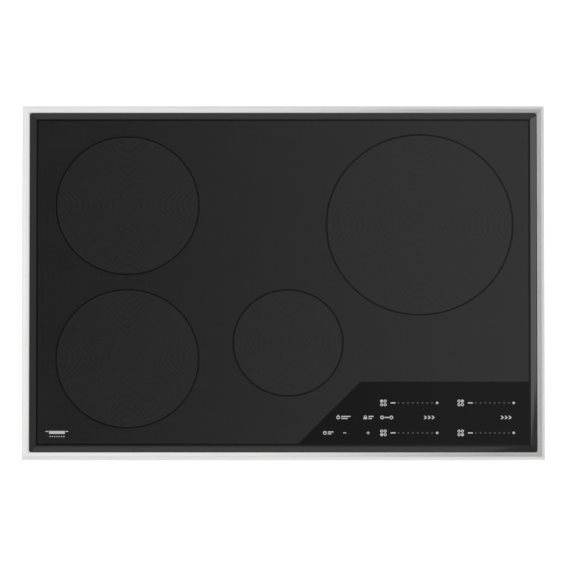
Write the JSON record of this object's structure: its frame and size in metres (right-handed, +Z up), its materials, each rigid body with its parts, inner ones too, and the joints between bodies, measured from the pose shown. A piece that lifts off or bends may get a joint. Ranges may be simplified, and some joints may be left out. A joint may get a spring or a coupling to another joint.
{
  "type": "electric induction cooktop",
  "caption": "Built-in induction cooktop: bevelled black glass in a steel frame over a sheet-metal box, with sprung coils, cooling fans and worktop clamps.",
  "frame": {"origin": "middle of the burner box's underside", "axes": "+X to the user's right, +Y to the back, +Z up through the glass"},
  "size_m": [0.762, 0.5334, 0.1016],
  "materials": {
    "black_glass": "polished black glass-ceramic, printed",
    "stainless": "satin brushed",
    "zinc_sheet": "galvanised",
    "aluminium": "mill finish",
    "copper_litz": "enamelled copper strands",
    "ceramic_fibre": "matt felt",
    "spring_steel": "plain drawn wire",
    "sensor_ceramic": "matt",
    "silicone": "satin",
    "foam_tape": "closed-cell foam",
    "rubber_pad": "matt",
    "circuit_board": "solder mask",
    "black_plastic": "moulded, fine grain",
    "white_plastic": "moulded",
    "screw_steel": "zinc plated"
  },
  "bodies": {
    "cooktop": {"glass_top": "black_glass", "trim_frame": "stainless", "burner_box": "zinc_sheet", "tray_rail_left": "zinc_sheet", "tray_rail_right": "zinc_sheet", "clamp_bracket_left": "zinc_sheet", "clamp_bracket_right": "zinc_sheet", "coil_support_tray": "aluminium", "heat_sink_left": "aluminium", "heat_sink_right": "aluminium", "support_spring_rear_left": "spring_steel", "support_spring_front_left": "spring_steel", "support_spring_centre": "spring_steel", "support_spring_right": "spring_steel", "glass_bond_seal": "silicone", "gasket_front": "foam_tape", "gasket_rear": "foam_tape", "gasket_left": "foam_tape", "gasket_right": "foam_tape", "touch_board": "circuit_board", "power_board_left": "circuit_board", "power_board_right": "circuit_board", "filter_board": "circuit_board", "inlet_bush": "black_plastic", "terminal_block": "black_plastic", "touch_carrier": "black_plastic", "board_carrier_left": "black_plastic", "board_carrier_right": "black_plastic", "air_duct_left": "black_plastic", "air_duct_right": "black_plastic", "fan_housing_left": "black_plastic", "fan_housing_right": "black_plastic", "terminal_cover": "white_plastic", "light_guide": "white_plastic"},
    "coil_module_rear_left": {"coil_carrier_rear_left": "aluminium", "coil_winding_rear_left": "copper_litz", "insulation_disc_rear_left": "ceramic_fibre", "temperature_sensor_rear_left": "sensor_ceramic"},
    "coil_module_front_left": {"coil_carrier_front_left": "aluminium", "coil_winding_front_left": "copper_litz", "insulation_disc_front_left": "ceramic_fibre", "temperature_sensor_front_left": "sensor_ceramic"},
    "coil_module_centre": {"coil_carrier_centre": "aluminium", "coil_winding_centre": "copper_litz", "insulation_disc_centre": "ceramic_fibre", "temperature_sensor_centre": "sensor_ceramic"},
    "coil_module_right": {"coil_carrier_right": "aluminium", "coil_winding_right": "copper_litz", "insulation_disc_right": "ceramic_fibre", "temperature_sensor_right": "sensor_ceramic"},
    "fan_left": {"fan_rotor_left": "black_plastic"},
    "clamp_pad_left": {"clamp_pad_left": "rubber_pad"},
    "clamp_screw_left": {"clamp_screw_left": "screw_steel"},
    "fan_right": {"fan_rotor_right": "black_plastic"},
    "clamp_pad_right": {"clamp_pad_right": "rubber_pad"},
    "clamp_screw_right": {"clamp_screw_right": "screw_steel"}
  },
  "joints": [
    {"name": "coil_rear_left_float", "type": "slide", "parent": "cooktop", "child": "coil_module_rear_left", "axis": [0, 0, 1], "range_m": [-0.003, 0], "stiffness_N_per_m": 3000, "springref_m": 0.01, "deforming": ["support_spring_rear_left"]},
    {"name": "coil_front_left_float", "type": "slide", "parent": "cooktop", "child": "coil_module_front_left", "axis": [0, 0, 1], "range_m": [-0.003, 0], "stiffness_N_per_m": 3000, "springref_m": 0.01, "deforming": ["support_spring_front_left"]},
    {"name": "coil_centre_float", "type": "slide", "parent": "cooktop", "child": "coil_module_centre", "axis": [0, 0, 1], "range_m": [-0.003, 0], "stiffness_N_per_m": 3000, "springref_m": 0.01, "deforming": ["support_spring_centre"]},
    {"name": "coil_right_float", "type": "slide", "parent": "cooktop", "child": "coil_module_right", "axis": [0, 0, 1], "range_m": [-0.003, 0], "stiffness_N_per_m": 3000, "springref_m": 0.01, "deforming": ["support_spring_right"]},
    {"name": "fan_left_spin", "type": "hinge", "parent": "cooktop", "child": "fan_left", "pos_m": [-0.245, 0.175, 0.015], "axis": [0, 0, 1], "continuous": true},
    {"name": "fan_right_spin", "type": "hinge", "parent": "cooktop", "child": "fan_right", "pos_m": [0.245, 0.175, 0.015], "axis": [0, 0, 1], "continuous": true},
    {"name": "clamp_left_slide", "type": "slide", "parent": "cooktop", "child": "clamp_pad_left", "axis": [0, 0, 1], "range_m": [-0.01, 0.0115]},
    {"name": "clamp_left_turn", "type": "hinge", "parent": "clamp_pad_left", "child": "clamp_screw_left", "pos_m": [-0.3695, 0, 0.03], "axis": [0, 0, 1], "range_deg": [-3600, 4140]},
    {"name": "clamp_right_slide", "type": "slide", "parent": "cooktop", "child": "clamp_pad_right", "axis": [0, 0, 1], "range_m": [-0.01, 0.0115]},
    {"name": "clamp_right_turn", "type": "hinge", "parent": "clamp_pad_right", "child": "clamp_screw_right", "pos_m": [0.3695, 0, 0.03], "axis": [0, 0, 1], "range_deg": [-3600, 4140]}
  ],
  "couplings": [
    {"joint": "clamp_left_turn", "follows": "clamp_left_slide", "rad_per_m": 6283},
    {"joint": "clamp_right_turn", "follows": "clamp_right_slide", "rad_per_m": 6283}
  ]
}
